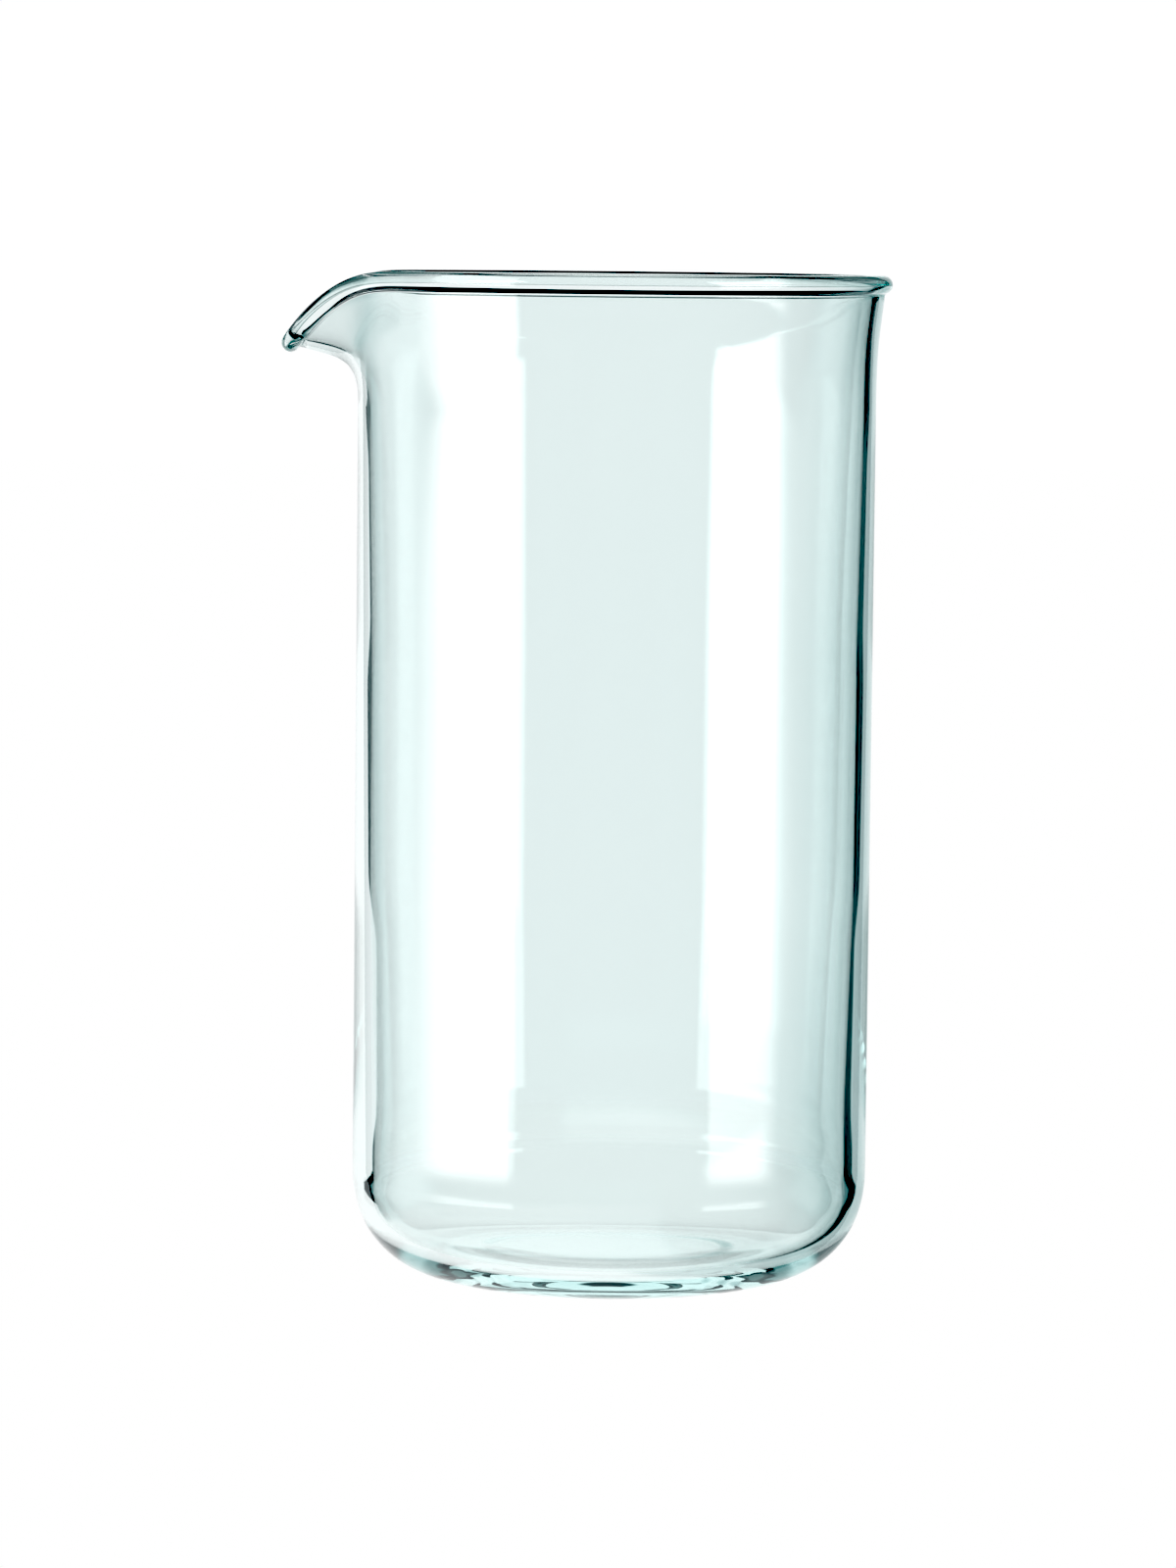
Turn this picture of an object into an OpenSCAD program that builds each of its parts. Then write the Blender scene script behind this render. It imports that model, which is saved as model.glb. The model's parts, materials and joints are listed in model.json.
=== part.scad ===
// Tall glass beaker, one piece of clear blown borosilicate glass: a straight
// cylindrical wall on a rounded heel, a beaded rim and a beak-shaped pouring lip.
// Units are millimetres. The origin is the centre of the standing ring's flat
// underside, +Z points up the vessel's axis, and the pouring lip points along -X.

/* [Body] */
// Overall height, from the standing ring to the top of the rim
glass_h = 136.2; // [110:0.1:170]
// Outer diameter of the straight wall
body_d = 70; // [60:0.5:85]
// Outer radius of the rounded heel between the wall and the base
heel_r = 13.5; // [11:0.5:15]
// Inner radius of the rounded heel
hollow_heel_r = 8.8; // [8:0.2:12]

/* [Glass thickness] */
// Wall thickness just above the heel
lower_t = 2.9; // [2.6:0.05:3.4]
// Wall thickness along the true bore in the middle of the vessel
wall_t = 2.1; // [1.7:0.05:2.5]
// Wall thickness just under the rim
mouth_t = 1.6; // [1.4:0.05:1.9]
// Thickness of the floor above the standing ring
floor_t = 3.6; // [3:0.1:4.4]

/* [Base] */
// Width of the flat standing ring
ring_w = 3.5; // [2:0.5:6]
// Depth of the shallow recess inside the standing ring
recess_h = 0.3; // [0.2:0.1:1.2]
// Width of the sloping edge of the recess
recess_edge = 2.5; // [1:0.5:4]

/* [Rim] */
// Diameter of the rounded bead along the rim
bead_d = 2.5; // [2.4:0.05:2.8]
// How far the bead stands out beyond the straight wall
bead_out = 2; // [1.6:0.1:2.6]
// Lean of the wall where it enters the bead, in degrees
rim_lean = 5; // [2:1:8]
// Radius of the fillet between the outer wall and the bead
fillet_r = 0.4; // [0.3:0.1:0.6]

/* [Pouring lip] */
// How far the bead swings outwards at the lip's tip
lip_reach = 8.4; // [5:0.2:10]
// How far the bead drops at the lip's tip
lip_drop = 8.6; // [4:0.2:9.4]
// Half of the angle that the lip takes up along the rim, in degrees
lip_half_angle = 42; // [34:1:48]
// Lean of the glass where it enters the bead at the lip's tip, in degrees
lip_lean = 68; // [50:1:78]
// Part of its thickness that the drawn-out glass loses at the lip's tip
lip_thinning = 0.4; // [0:0.05:0.5]

/* [Hidden] */
$fn = 180;

// Straight wall, heel and base
wall_r = body_d / 2;
foot_r = wall_r - heel_r;
lower_r = wall_r - lower_t;
hollow_foot_r = lower_r - hollow_heel_r;
bore_r = wall_r - wall_t;
heel_top = max(heel_r, floor_t + hollow_heel_r) + 4;
bore_bottom = 0.4 * glass_h;
bore_top = 0.6 * glass_h;
recess_r = foot_r - ring_w;

// Rim
bead_r = bead_d / 2;
bead_ring_r = wall_r + bead_out - bead_r;
bead_z = glass_h - bead_r;
neck_z = glass_h - 18;
neck_r = wall_r - mouth_t / 2;
bead_shift = bead_r - mouth_t / 2;

// Outline steps: along the flared wall, round the fillet and round the bead
WALL_STEPS = 10;
FILLET_STEPS = 3;
BEAD_STEPS = 14;
// How far the ends of the flared wall's curve pull it straight, as parts of its span
NECK_PULL = 0.62;
BEAD_PULL = 0.41;

// The lip's own solid: the angle between its columns, how far it reaches into the
// turned wall below and beside it, and how far its faces stay inside that wall's faces
LIP_STEP = 2.5;
LIP_ROOT = 2;
LIP_OVERLAP = 1;
LIP_SKIN = 0.02;

// Directions as [radius, height]: along leaning glass, straight out of it, and at an
// angle that is 0 straight out and 90 along
function tangent(lean) = [sin(lean), cos(lean)];
function outward(lean) = [cos(lean), -sin(lean)];
function towards(lean, angle) = cos(angle) * outward(lean) + sin(angle) * tangent(lean);

// Shape of the lip along the rim: 1 at its tip, 0 at its shoulders and beyond
function lip_weight(angle) =
    (1 + cos(180 * min(abs(angle), lip_half_angle) / lip_half_angle)) / 2;

function bead_centre(w) = [
    bead_ring_r + lip_reach * w ^ 1.75,
    bead_z - lip_drop * w ^ 3
];
function end_lean(w) = rim_lean + (lip_lean - rim_lean) * w;

// Middle of the glass from the neck to the bead, as a cubic Bezier curve whose
// ends are upright at the neck and leaning at the bead
function curve_poles(w) =
    let (
        start = [neck_r, neck_z],
        end = bead_centre(w) - bead_shift * outward(end_lean(w)),
        span = norm(end - start)
    )
    [
        start,
        start + NECK_PULL * span * [0, 1],
        end - BEAD_PULL * span * tangent(end_lean(w)),
        end
    ];
function curve_point(p, t) =
    (1 - t) ^ 3 * p[0] + 3 * (1 - t) ^ 2 * t * p[1] + 3 * (1 - t) * t ^ 2 * p[2] + t ^ 3 * p[3];
function curve_lean(p, t) =
    let (
        d = (1 - t) ^ 2 * (p[1] - p[0]) + 2 * (1 - t) * t * (p[2] - p[1]) + t ^ 2 * (p[3] - p[2])
    )
    atan2(d[0], d[1]);

// Half of the glass thickness at a place along the curve, less the skin, which
// fades out towards the lip's tip
function half_t(w, t, skin) = mouth_t / 2 * (1 - lip_thinning * w * t) - skin * (1 - w * t);

// Outline of the flared wall and its bead from the neck up, as [radius, height]
// points: up the outside, round the bead and down the inside
function rim_outline(w, skin) =
    let (
        poles = curve_poles(w),
        bead = bead_r - skin * (1 - w),
        centre = bead_centre(w),
        lean = end_lean(w),
        fillet_out = half_t(w, 1, 0) - bead_shift + fillet_r,
        fillet_drop = sqrt((bead_r + fillet_r) ^ 2 - fillet_out ^ 2),
        fillet_turn = atan2(fillet_drop, fillet_out),
        fillet = centre + fillet_out * outward(lean) - fillet_drop * tangent(lean),
        last_t = 1 - fillet_drop / (3 * BEAD_PULL * norm(poles[3] - poles[0]))
    )
    concat(
        [
            for (i = [0 : WALL_STEPS])
            let (t = last_t * i / WALL_STEPS)
            curve_point(poles, t) + half_t(w, t, skin) * outward(curve_lean(poles, t))
        ],
        [
            for (i = [1 : FILLET_STEPS - 1])
            fillet + (fillet_r + skin * (1 - w)) * towards(lean, 180 - fillet_turn * i / FILLET_STEPS)
        ],
        [
            for (i = [0 : BEAD_STEPS])
            centre + bead * towards(lean, (180 + fillet_turn) * i / BEAD_STEPS - fillet_turn)
        ],
        [
            for (i = [WALL_STEPS : -1 : 0])
            let (t = last_t * i / WALL_STEPS)
            curve_point(poles, t) - half_t(w, t, skin) * outward(curve_lean(poles, t))
        ]
    );

// Half section of the base: rounded heel outside and inside, and the recess below
module base_section() {
    difference() {
        union() {
            square([foot_r, heel_top]);
            translate([foot_r, heel_r]) circle(r = heel_r);
            translate([foot_r, heel_r]) square([heel_r, heel_top - heel_r]);
        }
        translate([0, floor_t]) square([hollow_foot_r, glass_h]);
        translate([hollow_foot_r, floor_t + hollow_heel_r]) {
            circle(r = hollow_heel_r);
            square([hollow_heel_r, glass_h]);
        }
        polygon([
            [0, -1],
            [recess_r, -1],
            [recess_r, 0],
            [recess_r - recess_edge, recess_h],
            [0, recess_h]
        ]);
    }
}

// Half section of the wall, from the heel to the beaded rim
module wall_section() {
    polygon(concat(
        [[wall_r, heel_top]],
        rim_outline(0, 0),
        [
            [bore_r, bore_top],
            [bore_r, bore_bottom],
            [lower_r, heel_top]
        ]
    ));
}

// Upright wedge that the pouring lip takes out of the turned rim
module lip_gap() {
    reach = 2 * wall_r;
    half_w = reach * tan(lip_half_angle);
    translate([0, 0, neck_z])
        linear_extrude(height = glass_h)
            polygon([[0, 0], [-reach, half_w], [-reach, -half_w]]);
}

// Facets that close an end of the lip: a strip between the outer and the inner wall,
// then a fan over the bead from the last inner wall point
function end_faces(start, count, flip) =
    let (
        strip = [
            for (k = [0 : WALL_STEPS])
            each [[k, k + 1, count - 2 - k], [k, count - 2 - k, count - 1 - k]]
        ],
        apex = count - 2 - WALL_STEPS,
        fan = [for (k = [WALL_STEPS + 1 : apex - 2]) [apex, k, k + 1]]
    )
    [
        for (f = concat(strip, fan))
        let (g = flip ? [f[2], f[1], f[0]] : f)
        [for (i = g) start + i]
    ];

// Pouring lip: rim outlines at steps round the axis, joined by a skin of facets
module pouring_lip() {
    reach = lip_half_angle + LIP_OVERLAP;
    columns = ceil(reach / LIP_STEP);
    angles = [for (i = [-columns : columns]) reach * i / columns];
    loops = [
        for (a = angles)
        let (outline = rim_outline(lip_weight(a), LIP_SKIN), last = outline[len(outline) - 1])
        concat(
            [[outline[0][0], neck_z - LIP_ROOT]],
            outline,
            [[last[0], neck_z - LIP_ROOT]]
        )
    ];
    count = len(loops[0]);
    points = [
        for (j = [0 : len(angles) - 1])
        for (p = loops[j])
        [-p[0] * cos(angles[j]), p[0] * sin(angles[j]), p[1]]
    ];
    skin = [
        for (j = [0 : len(angles) - 2])
        for (i = [0 : count - 1])
        let (k = (i + 1) % count, a = j * count, b = (j + 1) * count)
        each [[a + i, b + k, a + k], [a + i, b + i, b + k]]
    ];
    ends = concat(end_faces(0, count, false), end_faces(len(points) - count, count, true));
    polyhedron(points = points, faces = concat(skin, ends), convexity = 6);
}

module glass_beaker() {
    color([0.86, 0.94, 0.95, 0.45]) {
        difference() {
            rotate_extrude() {
                base_section();
                wall_section();
            }
            lip_gap();
        }
        pouring_lip();
    }
}

glass_beaker();
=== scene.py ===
import json
import math
import bmesh
import bpy
from mathutils import Matrix, Vector


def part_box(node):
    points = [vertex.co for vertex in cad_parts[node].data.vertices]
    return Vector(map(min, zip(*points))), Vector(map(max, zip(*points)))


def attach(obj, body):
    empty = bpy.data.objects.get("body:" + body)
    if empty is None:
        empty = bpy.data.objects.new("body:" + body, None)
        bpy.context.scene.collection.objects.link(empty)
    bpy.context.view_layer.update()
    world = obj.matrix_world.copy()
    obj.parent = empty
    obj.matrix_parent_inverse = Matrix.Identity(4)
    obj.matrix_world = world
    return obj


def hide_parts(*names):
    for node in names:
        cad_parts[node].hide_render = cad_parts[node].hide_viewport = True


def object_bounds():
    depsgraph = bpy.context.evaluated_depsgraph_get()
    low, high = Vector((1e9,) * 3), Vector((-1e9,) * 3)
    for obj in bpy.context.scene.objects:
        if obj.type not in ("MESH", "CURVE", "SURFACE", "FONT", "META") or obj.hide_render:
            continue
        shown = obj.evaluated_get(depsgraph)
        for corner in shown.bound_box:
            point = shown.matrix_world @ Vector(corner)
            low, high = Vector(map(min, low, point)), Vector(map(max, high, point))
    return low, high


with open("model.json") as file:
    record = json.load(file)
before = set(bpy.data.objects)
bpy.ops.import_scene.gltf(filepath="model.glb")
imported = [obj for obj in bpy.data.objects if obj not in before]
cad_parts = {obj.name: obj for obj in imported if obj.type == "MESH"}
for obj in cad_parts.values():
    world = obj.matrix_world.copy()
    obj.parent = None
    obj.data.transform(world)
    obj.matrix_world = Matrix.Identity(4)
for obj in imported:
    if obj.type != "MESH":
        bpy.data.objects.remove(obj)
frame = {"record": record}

CAD_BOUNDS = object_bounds()
NODE = "glass_beaker"
MM = 0.001

# ---------------------------------------------------------------- sizes, in mm

MOUNTS = {m["name"]: m for m in frame["record"]["mounts"]}
GLASS_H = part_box(NODE)[1][2] / MM
WALL_R = MOUNTS["frame_band"]["dims"]["r_mm"]
BORE_R = MOUNTS["plunger_bore"]["dims"]["r_mm"]
BORE_MID = MOUNTS["plunger_bore"]["pos_m"][2] / MM
BORE_HALF = MOUNTS["plunger_bore"]["dims"]["length_mm"] / 2

HEEL_R = 14.9
HOLLOW_HEEL_R = 9.7
# power of the heel's outline: 2 is a circle, more is fuller
FULLNESS = 2.25
LOWER_T = 2.9
MOUTH_T = 1.6
FLOOR_T = 3.6
RING_W = 2.5
RECESS_H = 0.3
RECESS_EDGE = 2.5
BEAD_R = 1.25
BEAD_OUT = 2.0
FILLET_R = 0.4
RIM_LEAN = math.radians(5)
LIP_REACH = 8.4
LIP_DROP = 8.6
LIP_HALF_ANGLE = math.radians(42)
LIP_LEAN = math.radians(68)
LIP_THINNING = 0.4
# how far the ends of the flared wall's curve pull it straight, as parts of its span
NECK_PULL = 0.62
END_PULL = 0.41

FOOT_R = WALL_R - HEEL_R
LOWER_R = WALL_R - LOWER_T
HOLLOW_FOOT_R = LOWER_R - HOLLOW_HEEL_R
HOLLOW_HEEL_Z = FLOOR_T + HOLLOW_HEEL_R
HEEL_TOP = max(HEEL_R, HOLLOW_HEEL_Z) + 4
NECK_Z = GLASS_H - 18
NECK_R = WALL_R - MOUTH_T / 2
BEAD_RING_R = WALL_R + BEAD_OUT - BEAD_R
BEAD_Z = GLASS_H - BEAD_R
BEAD_SHIFT = BEAD_R - MOUTH_T / 2

COLUMNS = 360
# a short step next to a bend, so that the bend doesn't shade the flat glass beside it
GUARD = 0.15
# radius of the smallest loop round the middle of the floor and of the underside
INNER_LOOP_R = 0.4
# how far the flared wall stops short of the fillet outside and of the bead inside, as parts of
# its curve
FILLET_GAP = 0.012
BEAD_GAP = 0.015
# the heel stops a hair short of a full quarter turn, where the standing ring or floor ends
QUARTER_TURN = math.pi / 2 - 0.0001


# ---------------------------------------------------------------- the glass

def smooth(t):
    t = min(max(t, 0.0), 1.0)
    return t * t * (3 - 2 * t)


def eased(t):
    """A straight climb from 0 to 1 with soft ends."""
    t = min(max(t, 0.0), 1.0)
    end = 0.2
    if t < end:
        return t * t / (2 * end * (1 - end))
    if t > 1 - end:
        return 1 - (1 - t) ** 2 / (2 * end * (1 - end))
    return (t - end / 2) / (1 - end)


def steps(low, high, count):
    return [low + (high - low) * i / count for i in range(count + 1)]


def inner_radius(z):
    """Inside of the wall below the neck: thick above the heel, true along the bore, thin at the mouth."""
    low, high = BORE_MID - BORE_HALF, BORE_MID + BORE_HALF
    r = LOWER_R + (BORE_R - LOWER_R) * eased((z - HEEL_TOP) / (low - HEEL_TOP))
    return r + (WALL_R - MOUTH_T - BORE_R) * eased((z - high) / (NECK_Z - high))


def tangent(lean):
    return Vector((math.sin(lean), math.cos(lean)))


def outward(lean):
    return Vector((math.cos(lean), -math.sin(lean)))


def lip_weight(angle):
    """1 at the tip of the pouring lip, 0 at its shoulders and round the rest of the rim."""
    a = abs(math.remainder(angle, math.tau))
    return (1 + math.cos(math.pi * min(a / LIP_HALF_ANGLE, 1))) / 2


def rim_curve(w):
    """Poles of the glass's middle line from the neck to the bead, the lean there, and the bead's centre."""
    lean = RIM_LEAN + (LIP_LEAN - RIM_LEAN) * w
    centre = Vector((BEAD_RING_R + LIP_REACH * w ** 1.75, BEAD_Z - LIP_DROP * w ** 3))
    start = Vector((NECK_R, NECK_Z))
    end = centre - BEAD_SHIFT * outward(lean)
    span = (end - start).length
    pull_up = NECK_PULL * span * tangent(0)
    pull_back = END_PULL * span * tangent(lean)
    return (start, start + pull_up, end - pull_back, end), lean, centre


def curve_at(p, t):
    """A point on a cubic Bezier curve, and its lean from upright."""
    s = 1 - t
    point = s ** 3 * p[0] + 3 * s * s * t * p[1] + 3 * s * t * t * p[2] + t ** 3 * p[3]
    slope = s * s * (p[1] - p[0]) + 2 * s * t * (p[2] - p[1]) + t * t * (p[3] - p[2])
    return point, math.atan2(slope.x, slope.y)


def half_thickness(w, t):
    """Half of the thickness of the flared glass, which thins towards the tip of the lip."""
    return MOUTH_T / 2 * (1 - LIP_THINNING * w * t)


def arc(centre, r, start, end, count, lean=0.0):
    """Points round a centre, where 0 is straight out from the wall and a quarter turn is up along it."""
    return [centre + r * (math.cos(a) * outward(lean) + math.sin(a) * tangent(lean))
            for a in steps(start, end, count)]


def soft_corner(centre, size, count):
    """A quarter turn from straight down to straight out, a little fuller than a circle, so that it
    runs into the straight glass at both ends without a sudden bend."""
    power = 2 / FULLNESS
    return [centre + size * Vector((math.cos(a) ** power, -math.sin(a) ** power))
            for a in steps(QUARTER_TURN, 0, count)]


def rim_rows(w):
    """Outline of the flared wall and bead, as (radius, height): up the outside, over, down the inside."""
    poles, lean, centre = rim_curve(w)
    # the fillet's centre, out from the bead's centre and back along the wall
    out = half_thickness(w, 1) - BEAD_SHIFT + FILLET_R
    drop = math.sqrt((BEAD_R + FILLET_R) ** 2 - out ** 2)
    turn = math.atan2(drop, out)
    fillet = centre + out * outward(lean) - drop * tangent(lean)
    last = 1 - drop / (3 * END_PULL * (poles[3] - poles[0]).length)
    rows = []
    for t in steps(0, last - FILLET_GAP, 20):
        point, a = curve_at(poles, t)
        rows.append(point + half_thickness(w, t) * outward(a))
    rows += arc(fillet, FILLET_R, math.pi, math.pi - turn, 8, lean)[:-1]
    rows += arc(centre, BEAD_R, -turn, math.pi, 34, lean)
    for t in steps(1 - BEAD_GAP, 0, 24):
        point, a = curve_at(poles, t)
        rows.append(point - half_thickness(w, t) * outward(a))
    return rows


def base_rows():
    """Outline from the middle of the underside out over the standing ring and up the heel."""
    edge = FOOT_R - RING_W
    rows = [Vector((r, RECESS_H)) for r in steps(INNER_LOOP_R, edge - RECESS_EDGE, 6)]
    rows += [Vector((edge - RECESS_EDGE * t, RECESS_H * smooth(t))) for t in steps(0.9, 0, 9)]
    rows += [Vector((r, 0)) for r in steps(edge + GUARD, FOOT_R - GUARD, 2)]
    rows += soft_corner(Vector((FOOT_R, HEEL_R)), HEEL_R, 34)
    return rows


def hollow_rows():
    """Outline from the top of the inside heel down to the middle of the floor."""
    rows = soft_corner(Vector((HOLLOW_FOOT_R, HOLLOW_HEEL_Z)), HOLLOW_HEEL_R, 30)[::-1]
    rows += [Vector((r, FLOOR_T)) for r in steps(HOLLOW_FOOT_R - GUARD, INNER_LOOP_R, 8)]
    return rows


def outline(angle):
    """The whole closed outline of the glass at an angle from the pouring lip, as (radius, height) rows."""
    rows = base_rows()
    rows += [Vector((WALL_R, z)) for z in steps(HEEL_R + GUARD, NECK_Z - GUARD, 28)]
    rows += rim_rows(lip_weight(angle))
    rows += [Vector((inner_radius(z), z)) for z in steps(NECK_Z - GUARD, HOLLOW_HEEL_Z + GUARD, 60)]
    rows += hollow_rows()
    return rows


def make_glass():
    """The outline swept once round the axis, with the pouring lip at -X, as one closed mesh."""
    bm = bmesh.new()
    loops = []
    for j in range(COLUMNS):
        angle = math.tau * j / COLUMNS
        c, s = -math.cos(angle), math.sin(angle)
        loops.append([bm.verts.new((p.x * c * MM, p.x * s * MM, p.y * MM)) for p in outline(angle)])
    last = len(loops[0]) - 1
    bottom = bm.verts.new((0, 0, RECESS_H * MM))
    top = bm.verts.new((0, 0, FLOOR_T * MM))
    for j in range(COLUMNS):
        a, b = loops[j], loops[(j + 1) % COLUMNS]
        for i in range(last):
            bm.faces.new((a[i], a[i + 1], b[i + 1], b[i]))
        bm.faces.new((bottom, a[0], b[0]))
        bm.faces.new((top, b[last], a[last]))
    bmesh.ops.recalc_face_normals(bm, faces=bm.faces)
    mesh = bpy.data.meshes.new("blown_glass")
    bm.to_mesh(mesh)
    bm.free()
    mesh.shade_smooth()
    return bpy.data.objects.new("blown_glass", mesh)


# ---------------------------------------------------------------- the glass's material

IOR = 1.473
GLASS_COLOUR = (0.95, 0.995, 0.99, 1)
TINT_COLOUR = (0.7, 0.97, 0.96, 1)
TINT_DENSITY = 15
# stands for light that wanders inside the glass before it gets out
INNER_GLOW = 0.006
INNER_GLOW_COLOUR = (1, 0.97, 0.97, 1)


def glass_material():
    mat = bpy.data.materials.new("clear_blown_glass")
    mat.use_nodes = True
    nodes, links = mat.node_tree.nodes, mat.node_tree.links
    shader = nodes["Principled BSDF"]
    shader.inputs["Base Color"].default_value = GLASS_COLOUR
    shader.inputs["Roughness"].default_value = 0.0
    shader.inputs["IOR"].default_value = IOR
    shader.inputs["Transmission Weight"].default_value = 1.0
    shader.inputs["Emission Color"].default_value = INNER_GLOW_COLOUR
    shader.inputs["Emission Strength"].default_value = INNER_GLOW
    tint = nodes.new("ShaderNodeVolumeAbsorption")
    tint.inputs["Color"].default_value = TINT_COLOUR
    tint.inputs["Density"].default_value = TINT_DENSITY
    links.new(tint.outputs[0], nodes["Material Output"].inputs["Volume"])
    return mat


# ---------------------------------------------------------------- the studio

# Directions are in degrees from the camera's own: side to the right and rise upwards. A window is
# its low end, its high end and how soft each of them is.

# the field behind the glass: its edges, how much they slant, up to which rise they do, how soft
# they are, and the field's window of rise
FIELD_LEFT, FIELD_RIGHT = 31, 26.3
SLANT_LEFT, SLANT_RIGHT = 1.85, 0.95
SLANT_RISE = 6
EDGE_SOFT_LEFT, EDGE_SOFT_RIGHT = 0.7, 1.2
FIELD_RISE = (-31, 20, 1.5, 1)
# part of its strength that the field loses between the first side and the second
FIELD_LOSS = 0.36
FIELD_LOSS_SIDES = (1, 17)

# the dim fills beyond the field's edges: each one's window past the edge, its strength next to
# the edge, what it gains further out, its window of rise, and where both gain strength
LEFT_FILL = (7.5, 48, 0.7, 8)
LEFT_FILL_NEAR, LEFT_FILL_GAIN = 0.3, 0.45
LEFT_FILL_RISE = (-40, 24, 10, 4)
RIGHT_FILL = (9.5, 48, 1.2, 8)
RIGHT_FILL_NEAR, RIGHT_FILL_GAIN = 0.25, 0.3
RIGHT_FILL_RISE = (-12, 24, 3, 4)
FILL_GAIN_PAST = (14, 24)

# the soft boxes to the left and right of the camera, which make the two light bands
LEFT_BOX_SIDE, LEFT_BOX_RISE = (-133.5, -90, 1.5, 12), (-18, -1.5, 3, 1)
RIGHT_BOX_SIDE, RIGHT_BOX_RISE = (103, 135, 6, 1.5), (-12.8, -1.5, 0.8, 1)
BOX_STRENGTH = 4.0

# what is left where nothing shines, and the power by which red fades faster than the rest
DARK = (0.002, 0.006, 0.010, 1)
RED_FADE = 1.3

# the table: its radius and how far below the glass it lies; then, for light that comes through
# the glass, which finds painted light on the table: the distances over which it fades out, the painted
# shade that dims it to the right and between which leans, the leans over which the painted pool of
# light ends there, and the rises over which light counts as steep and finds that painted pool
TABLE_R = 3.0
TABLE_DROP = 0.0001
TABLE_REACH = (0.125, 0.105)
TABLE_PAINTED_SHADE = 0.25
TABLE_PAINTED_SHADE_LEANS = (-20, 20)
TABLE_END_LEANS = (26, 18)
TABLE_STEEP_RISES = (-12, -18)


class Nodes:
    """Short names for the few node kinds that the studio shaders use."""

    def __init__(self, tree):
        self.tree = tree

    def node(self, kind, **settings):
        n = self.tree.nodes.new("ShaderNode" + kind)
        for name, value in settings.items():
            setattr(n, name, value)
        return n

    def link(self, value, socket):
        if isinstance(value, (int, float)):
            socket.default_value = value
        else:
            self.tree.links.new(value, socket)

    def math(self, operation, *values):
        n = self.node("Math", operation=operation)
        for value, socket in zip(values, n.inputs):
            self.link(value, socket)
        return n.outputs[0]

    def ramp(self, value, low, high):
        """0 below low, 1 above high, smooth between; low may be the larger."""
        n = self.node("MapRange", interpolation_type="SMOOTHSTEP")
        for v, name in zip((value, low, high), ("Value", "From Min", "From Max")):
            self.link(v, n.inputs[name])
        return n.outputs["Result"]

    def window(self, value, low, high, soft_low, soft_high):
        """1 between low and high, 0 outside, smooth at both ends."""
        return self.math("MULTIPLY", self.ramp(value, low - soft_low, low + soft_low),
                         self.ramp(value, high + soft_high, high - soft_high))

    def product(self, a, b, c):
        return self.math("MULTIPLY", self.math("MULTIPLY", a, b), c)


def tinted(t, value):
    """Grey light of a strength, a little short of red where it is dim."""
    colour = t.node("CombineColor")
    t.link(t.math("MINIMUM", value, t.math("POWER", value, RED_FADE)), colour.inputs[0])
    t.link(value, colour.inputs[1])
    t.link(value, colour.inputs[2])
    return colour.outputs[0]


def view_angles(t, direction, sign):
    """Side, rise, and lean, which is how far a direction leans sideways out of the camera's upright
    plane. The sign is -1 for a direction that points back at where the light is seen from."""
    turn = t.node("VectorTransform", vector_type="VECTOR", convert_from="WORLD", convert_to="CAMERA")
    t.link(direction, turn.inputs[0])
    flip = t.node("VectorMath", operation="SCALE")
    t.link(turn.outputs[0], flip.inputs[0])
    flip.inputs["Scale"].default_value = sign
    split = t.node("SeparateXYZ")
    t.link(flip.outputs[0], split.inputs[0])
    x, y, z = split.outputs
    angles = t.math("ARCTAN2", x, z), t.math("ARCSINE", y), t.math("ARCSINE", x)
    return [t.math("DEGREES", angle) for angle in angles]


def fill(t, past, span, near, gain):
    """A fill at an angle past the field's edge: nothing, then dim, then brighter further out."""
    level = t.math("ADD", near, t.math("MULTIPLY", t.ramp(past, *FILL_GAIN_PAST), gain))
    return t.math("MULTIPLY", level, t.window(past, *span))


def backdrop(t, side, rise):
    """The field behind the glass, which ends at slanted edges, and the dimmer fills that stand
    beyond a narrow dark gap at each side of it."""
    tilt = t.math("MINIMUM", t.math("MAXIMUM", rise, -SLANT_RISE), SLANT_RISE)
    left_slant = t.math("MULTIPLY", tilt, SLANT_LEFT)
    right_slant = t.math("MULTIPLY", tilt, SLANT_RIGHT)
    past_left = t.math("SUBTRACT", left_slant, t.math("ADD", side, FIELD_LEFT))
    past_right = t.math("ADD", right_slant, t.math("SUBTRACT", side, FIELD_RIGHT))
    loss = t.math("MULTIPLY", t.ramp(side, *FIELD_LOSS_SIDES), FIELD_LOSS)
    before_left = t.ramp(past_left, EDGE_SOFT_LEFT, -EDGE_SOFT_LEFT)
    before_right = t.ramp(past_right, EDGE_SOFT_RIGHT, -EDGE_SOFT_RIGHT)
    field = t.product(before_left, before_right, t.math("SUBTRACT", 1.0, loss))
    left = fill(t, past_left, LEFT_FILL, LEFT_FILL_NEAR, LEFT_FILL_GAIN)
    right = fill(t, past_right, RIGHT_FILL, RIGHT_FILL_NEAR, RIGHT_FILL_GAIN)
    return field, left, right


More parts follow.
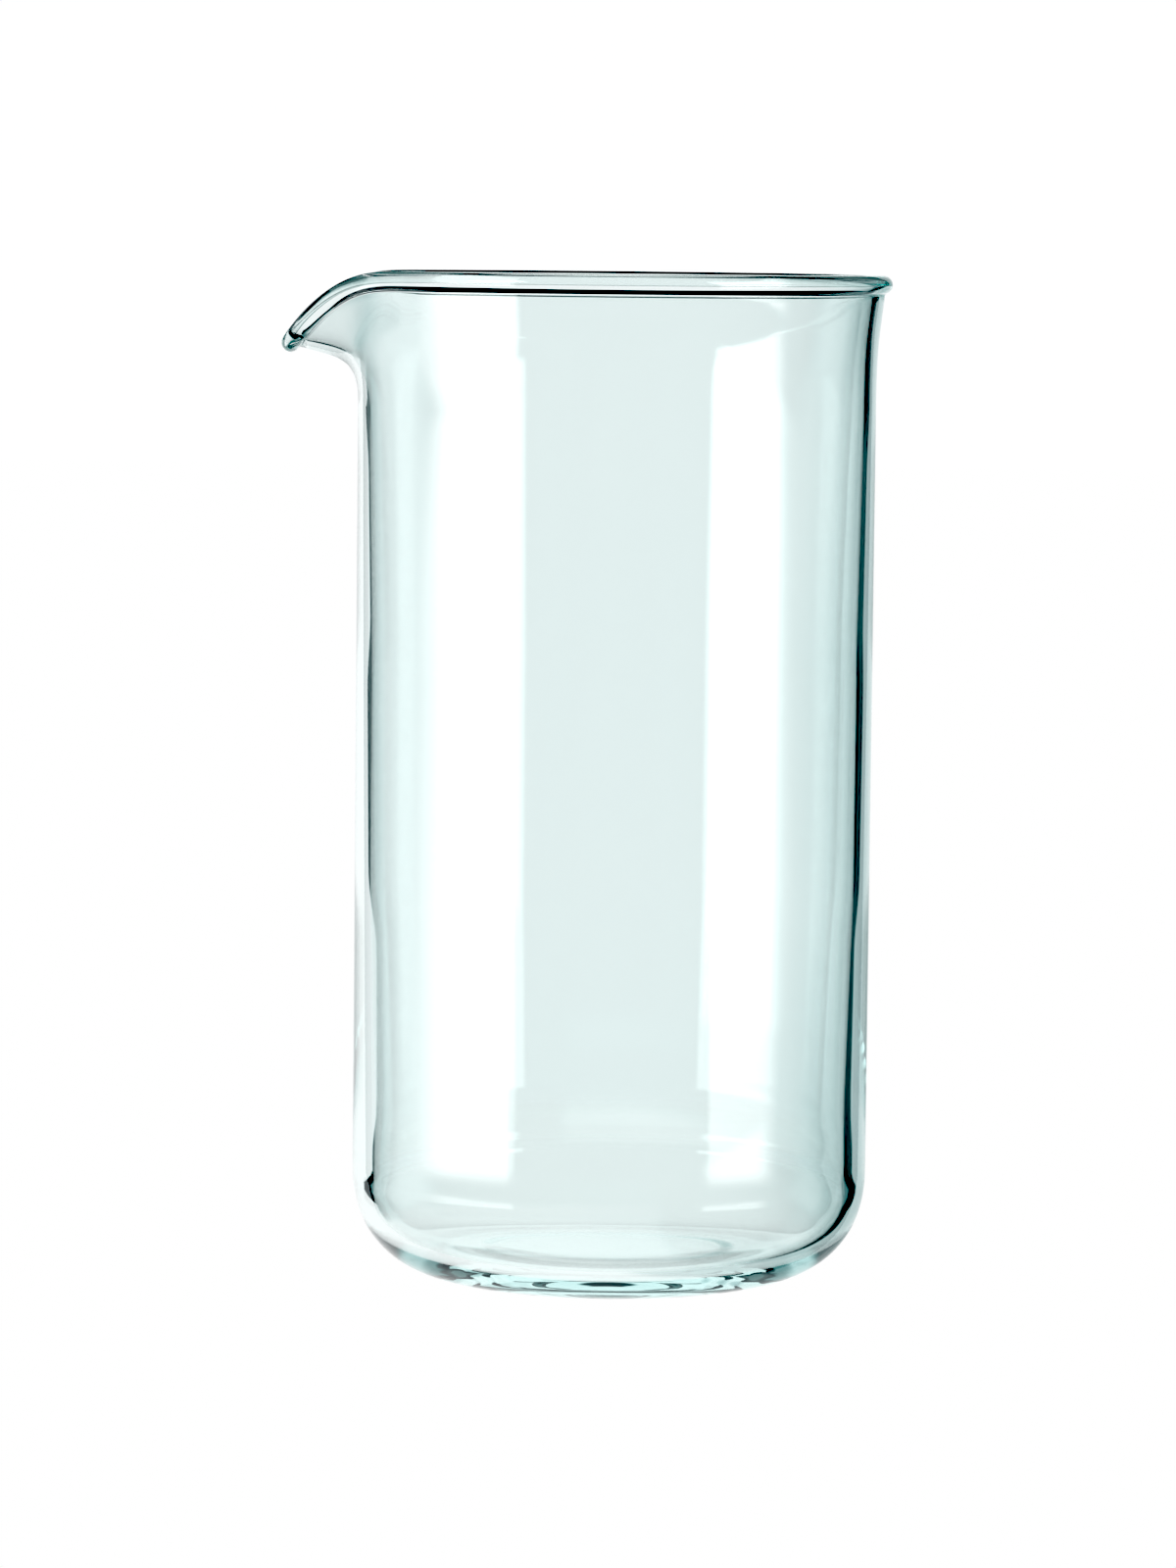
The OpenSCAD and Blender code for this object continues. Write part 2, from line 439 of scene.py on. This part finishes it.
def studio_world():
    """A bright field behind the glass and soft boxes at its sides, all fixed to the camera, which
    itself sees plain white."""
    world = bpy.data.worlds.new("studio")
    world.use_nodes = True
    t = Nodes(world.node_tree)
    world.node_tree.nodes.clear()
    side, rise, _ = view_angles(t, t.node("TexCoord").outputs["Generated"], 1)
    field, left, right = backdrop(t, side, rise)
    light = t.math("MULTIPLY", field, t.window(rise, *FIELD_RISE))
    light = t.math("ADD", light, t.math("MULTIPLY", left, t.window(rise, *LEFT_FILL_RISE)))
    light = t.math("ADD", light, t.math("MULTIPLY", right, t.window(rise, *RIGHT_FILL_RISE)))
    for box_side, box_rise in ((LEFT_BOX_SIDE, LEFT_BOX_RISE), (RIGHT_BOX_SIDE, RIGHT_BOX_RISE)):
        box = t.product(t.window(side, *box_side), t.window(rise, *box_rise), BOX_STRENGTH)
        light = t.math("ADD", light, box)
    light = t.math("MAXIMUM", light, t.node("LightPath").outputs["Is Camera Ray"])
    dark = t.node("RGB")
    dark.outputs[0].default_value = DARK
    total = t.node("VectorMath", operation="ADD")
    t.link(tinted(t, light), total.inputs[0])
    t.link(dark.outputs[0], total.inputs[1])
    glow = t.node("Background")
    t.link(total.outputs[0], glow.inputs["Color"])
    out = t.node("OutputWorld")
    t.link(glow.outputs[0], out.inputs[0])
    bpy.context.scene.world = world


def make_floor():
    """A plain pale table. The camera sees all of it. Light that bends down close to the glass finds it
    pale as well, with painted light on it: the studio's field and fills painted on, and a painted pool of
    light, dimmer to the right with painted shade; light from further away passes through it."""
    height = CAD_BOUNDS[0].z - TABLE_DROP
    bpy.ops.mesh.primitive_circle_add(
        vertices=96, radius=TABLE_R, fill_type="NGON", location=(0, 0, height))
    floor = bpy.context.object
    floor.name = "table"
    mat = bpy.data.materials.new("pale_table")
    mat.use_nodes = True
    t = Nodes(mat.node_tree)
    mat.node_tree.nodes.clear()
    path = t.node("LightPath")
    seen = path.outputs["Is Camera Ray"]
    side, rise, lean = view_angles(t, t.node("NewGeometry").outputs["Incoming"], -1)
    field, left, right = backdrop(t, side, rise)
    # painted backdrop light: the table shows the light that the field and fills would send along this
    # direction
    painted_backdrop_light = t.math("ADD", field, t.math("ADD", left, right))
    # painted shade: the table's painted pool of light is dimmer to the right
    loss = t.math("MULTIPLY", t.ramp(lean, *TABLE_PAINTED_SHADE_LEANS), TABLE_PAINTED_SHADE)
    # painted pool of light, for light that comes down steeply close to the glass
    steep = t.product(t.math("SUBTRACT", 1.0, loss), t.ramp(lean, *TABLE_END_LEANS),
                      t.ramp(rise, *TABLE_STEEP_RISES))
    # all the painted light that the table shows to light coming through the glass
    painted_light = tinted(t, t.math("MAXIMUM", painted_backdrop_light, steep))
    colour = t.node("Mix", data_type="RGBA")
    painted_light_socket, seen_socket = colour.inputs[6:8]
    t.link(seen, colour.inputs["Factor"])
    t.link(painted_light, painted_light_socket)
    seen_socket.default_value = (1, 1, 1, 1)
    glow = t.node("Emission")
    t.link(colour.outputs[2], glow.inputs["Color"])
    close = t.ramp(path.outputs["Ray Length"], *TABLE_REACH)
    mix = t.node("MixShader")
    t.link(t.math("MAXIMUM", seen, close), mix.inputs[0])
    t.link(t.node("BsdfTransparent").outputs[0], mix.inputs[1])
    t.link(glow.outputs[0], mix.inputs[2])
    out = t.node("OutputMaterial")
    t.link(mix.outputs[0], out.inputs[0])
    floor.data.materials.append(mat)


# ---------------------------------------------------------------- the scene

glass = make_glass()
bpy.context.scene.collection.objects.link(glass)
glass.data.materials.append(glass_material())
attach(glass, "root")
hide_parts(NODE)

make_floor()
studio_world()

# ---------------------------------------------------------------- camera and picture

CAMERA_DISTANCE = 0.8523
CAMERA_HEIGHT = 0.1418
CAMERA_PITCH = math.radians(5.02)
CAMERA_ROLL = math.radians(0.6)
CAMERA_YAW = math.radians(0.228)
CAMERA_LENS = 144.57
# the red, green and blue that come out as black in the picture
BLACK_LEVEL = (0.142, 0.134, 0.132)
# light bends many times before it gets out of the thick base
BOUNCES = 48
TRANSPARENT_BOUNCES = 16

camera = bpy.data.objects.new("camera", bpy.data.cameras.new("camera"))
bpy.context.scene.collection.objects.link(camera)
camera.data.lens = CAMERA_LENS
camera.data.clip_start = 0.05
camera.matrix_world = (Matrix.Translation((0.0, -CAMERA_DISTANCE, CAMERA_HEIGHT))
                       @ Matrix.Rotation(CAMERA_YAW, 4, "Z")
                       @ Matrix.Rotation(math.pi / 2 - CAMERA_PITCH, 4, "X")
                       @ Matrix.Rotation(CAMERA_ROLL, 4, "Z"))
bpy.context.scene.camera = camera

scene = bpy.context.scene
scene.view_settings.view_transform = "Standard"
scene.view_settings.use_curve_mapping = True
scene.view_settings.curve_mapping.black_level = BLACK_LEVEL
scene.view_settings.curve_mapping.update()
scene.cycles.max_bounces = BOUNCES
scene.cycles.transmission_bounces = BOUNCES
scene.cycles.glossy_bounces = BOUNCES
scene.cycles.transparent_max_bounces = TRANSPARENT_BOUNCES
